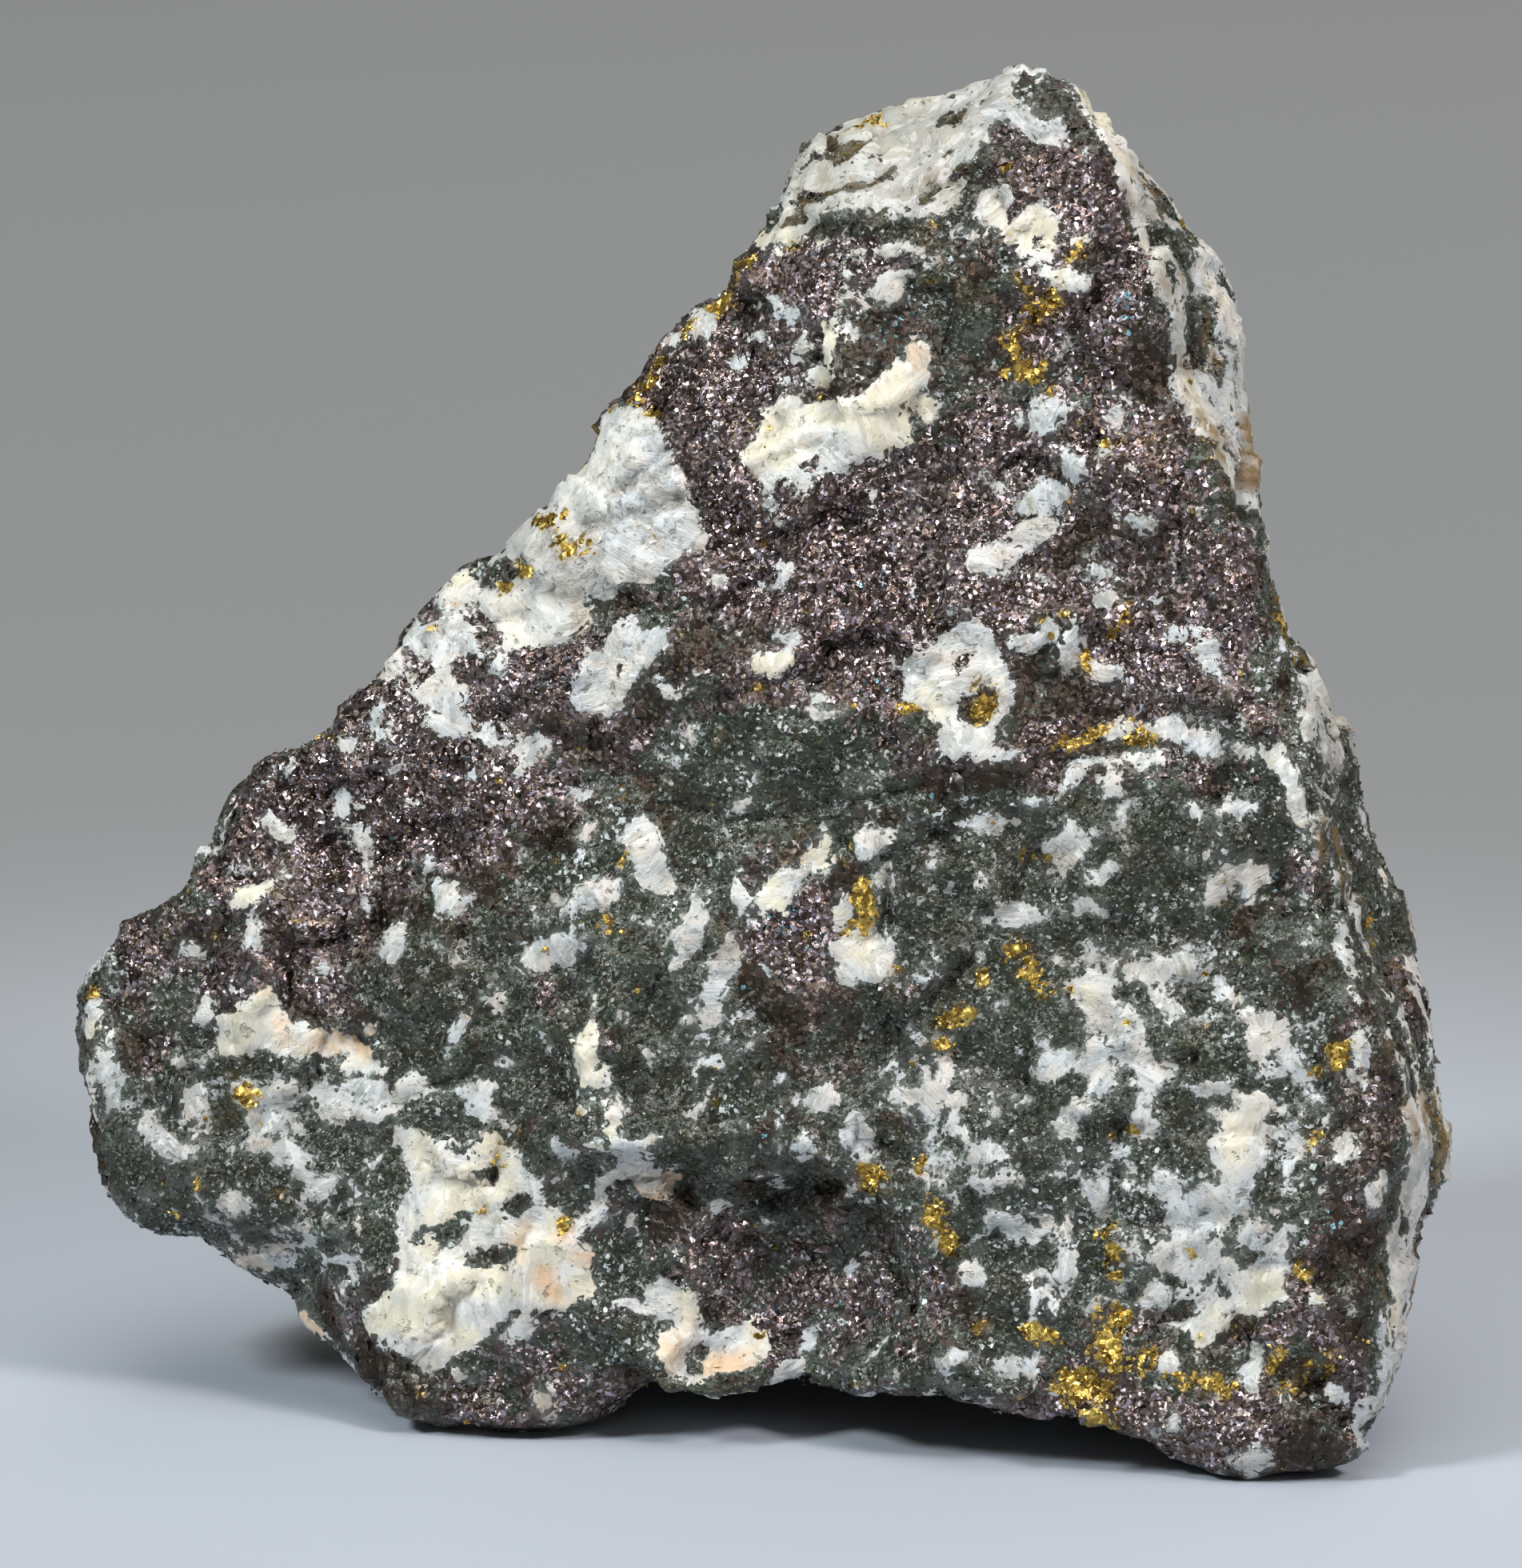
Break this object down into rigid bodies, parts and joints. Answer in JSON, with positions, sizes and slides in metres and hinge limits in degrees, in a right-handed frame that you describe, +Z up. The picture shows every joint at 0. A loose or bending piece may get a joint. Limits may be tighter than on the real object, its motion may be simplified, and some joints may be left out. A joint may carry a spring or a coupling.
{
  "type": "peacock ore specimen",
  "caption": "Rough wedge of peacock ore: glittering purple-brown bornite with brassy chalcopyrite in pale fibrous rock, standing on small flat feet.",
  "frame": {"origin": "middle of the footprint, on the floor", "axes": "+Z up, +X to the right along the broad face, the broad face towards -Y and leaning back"},
  "size_m": [0.1074, 0.0535, 0.1039],
  "materials": {
    "ore": "rough fracture, granular, with metallic glints of bornite and chalcopyrite and pale silky patches"
  },
  "bodies": {
    "root": {"ore_stone": "ore"}
  },
  "joints": []
}
